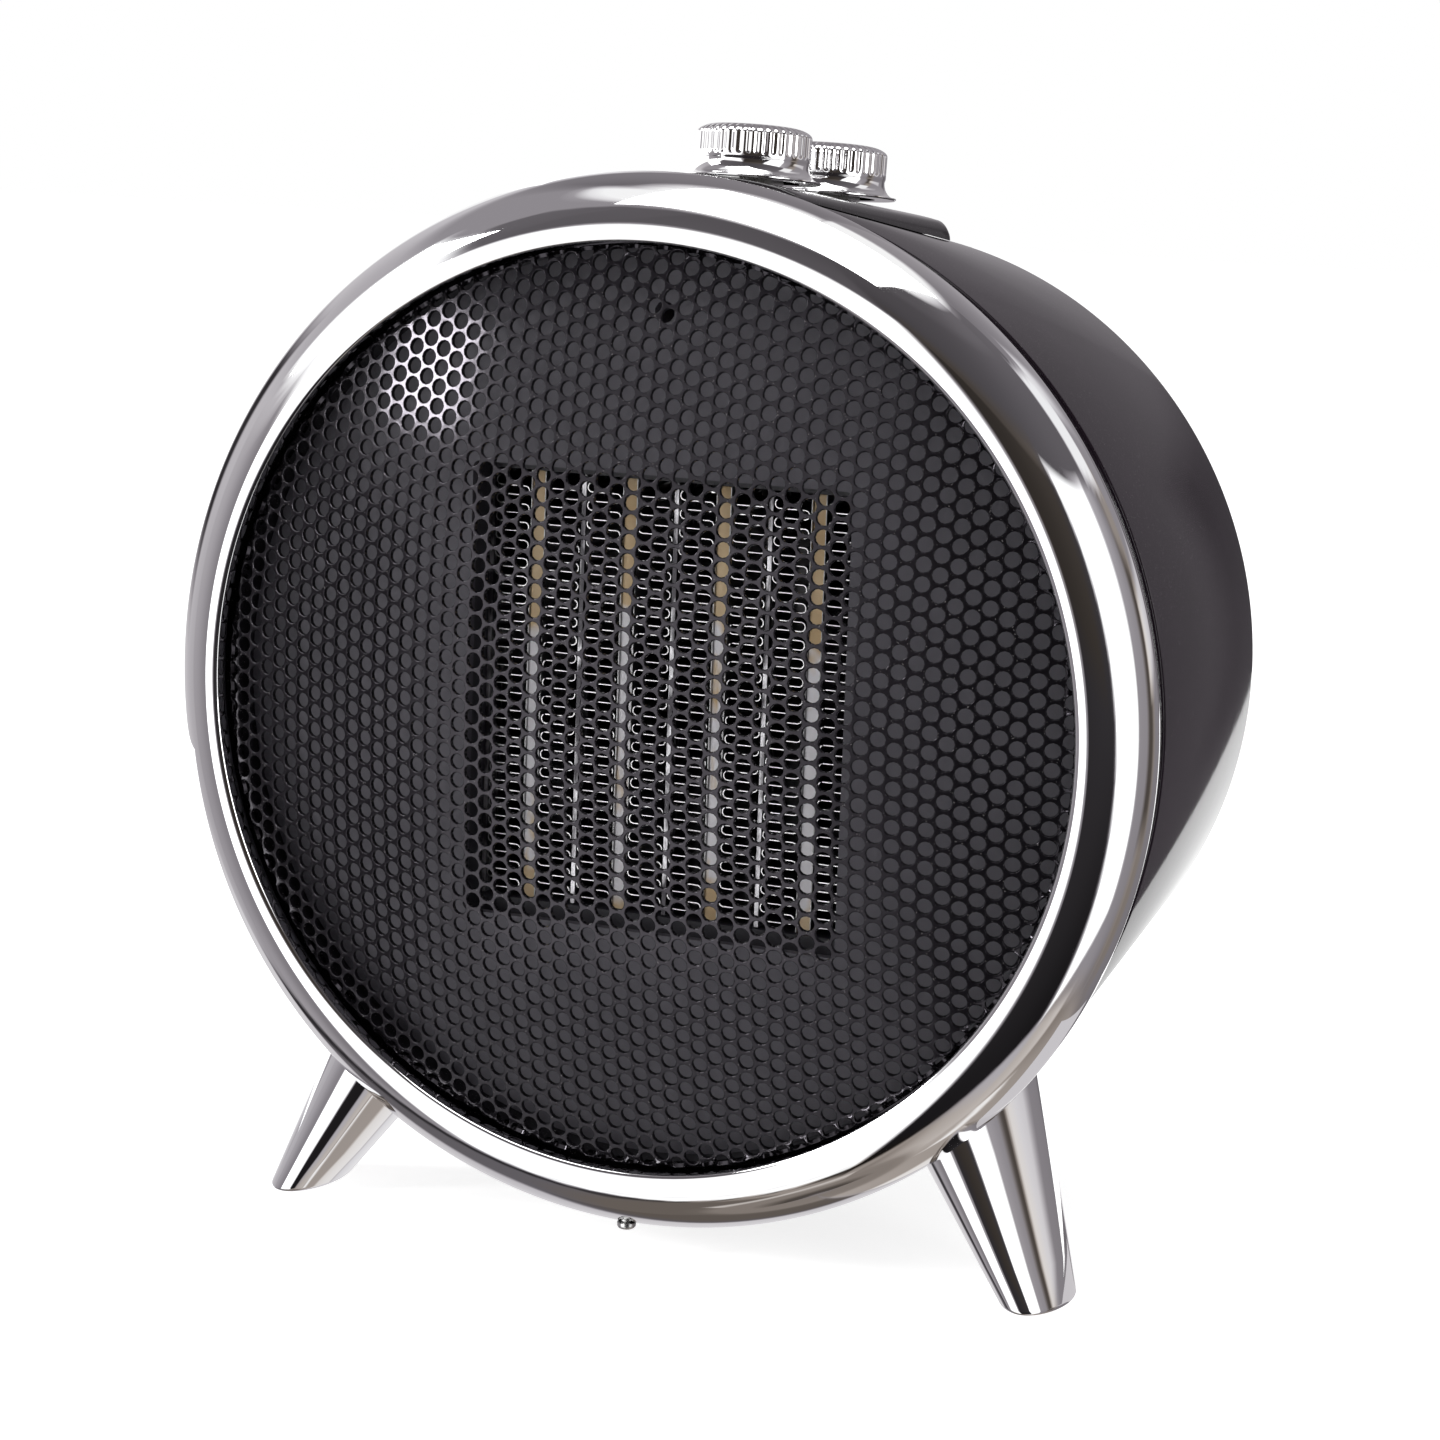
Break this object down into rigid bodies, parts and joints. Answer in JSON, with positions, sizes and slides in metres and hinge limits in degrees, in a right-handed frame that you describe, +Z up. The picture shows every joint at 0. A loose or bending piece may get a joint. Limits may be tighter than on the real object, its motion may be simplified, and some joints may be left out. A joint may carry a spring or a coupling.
{
  "type": "ceramic fan heater",
  "caption": "Round tabletop fan heater on legs: chrome front ring, domed perforated grille, ceramic heating element, tapered drum and fluted dials on top.",
  "frame": {"origin": "on the floor, under the middle of the heater's width and depth", "axes": "+Z up, -Y the front that blows warm air, +X to the right seen from the front"},
  "size_m": [0.24, 0.1623, 0.2582],
  "materials": {
    "chrome": "polished",
    "grille_black": "gloss",
    "drum_black": "gloss",
    "pad_black": "gloss",
    "dark_plastic": "satin",
    "aluminium": "rolled sheet",
    "heating_ceramic": "matte",
    "steel": "plated",
    "brown_plastic": "moulded",
    "pale_plastic": "moulded"
  },
  "bodies": {
    "housing": {"front_ring": "chrome", "ring_screw": "steel", "grille": "grille_black", "front_plate": "dark_plastic", "plate_screw_1": "steel", "ceramic_strip_1": "heating_ceramic", "ceramic_strip_2": "heating_ceramic", "ceramic_strip_3": "heating_ceramic", "ceramic_strip_4": "heating_ceramic", "element_plate_1": "aluminium", "element_plate_2": "aluminium", "element_plate_3": "aluminium", "element_plate_4": "aluminium", "element_plate_5": "aluminium", "fin_column_1": "aluminium", "fin_column_2": "aluminium", "fin_column_3": "aluminium", "fin_column_4": "aluminium", "fin_column_5": "aluminium", "fin_column_6": "aluminium", "fin_column_7": "aluminium", "fin_column_8": "aluminium", "upper_insulator": "dark_plastic", "lower_insulator": "dark_plastic", "terminal_tab_left": "steel", "terminal_tab_right": "steel", "air_duct": "dark_plastic", "thermal_cutout": "brown_plastic", "fan_shroud": "dark_plastic", "motor_bracket": "steel", "motor": "steel", "drum_body": "drum_black", "rear_cover": "drum_black", "cover_screw_1": "steel", "cover_screw_2": "steel", "cover_screw_3": "steel", "cover_screw_4": "steel", "cord_gland": "dark_plastic", "terminal_block": "pale_plastic", "control_pad": "pad_black", "thermostat_nut": "steel", "thermostat_body": "brown_plastic", "mode_switch_nut": "steel", "mode_switch_body": "brown_plastic", "front_leg_left": "chrome", "front_leg_right": "chrome", "rear_leg": "chrome", "leg_screw_1": "steel", "leg_screw_2": "steel", "leg_screw_3": "steel"},
    "thermostat_dial": {"thermostat_knob": "chrome", "thermostat_spindle": "steel"},
    "mode_dial": {"mode_switch_knob": "chrome", "mode_switch_spindle": "steel"},
    "fan_rotor": {"fan": "pale_plastic", "motor_shaft": "steel"}
  },
  "joints": [
    {"name": "thermostat_turn", "type": "hinge", "parent": "housing", "child": "thermostat_dial", "pos_m": [0, -0.00912, 0.24379], "axis": [0, -0.1012, -0.9949], "range_deg": [0, 300]},
    {"name": "mode_turn", "type": "hinge", "parent": "housing", "child": "mode_dial", "pos_m": [0, 0.03888, 0.2389], "axis": [0, -0.1012, -0.9949], "range_deg": [0, 270]},
    {"name": "fan_spin", "type": "hinge", "parent": "housing", "child": "fan_rotor", "pos_m": [0, -0.01012, 0.128], "axis": [0, 1, 0], "continuous": true}
  ]
}
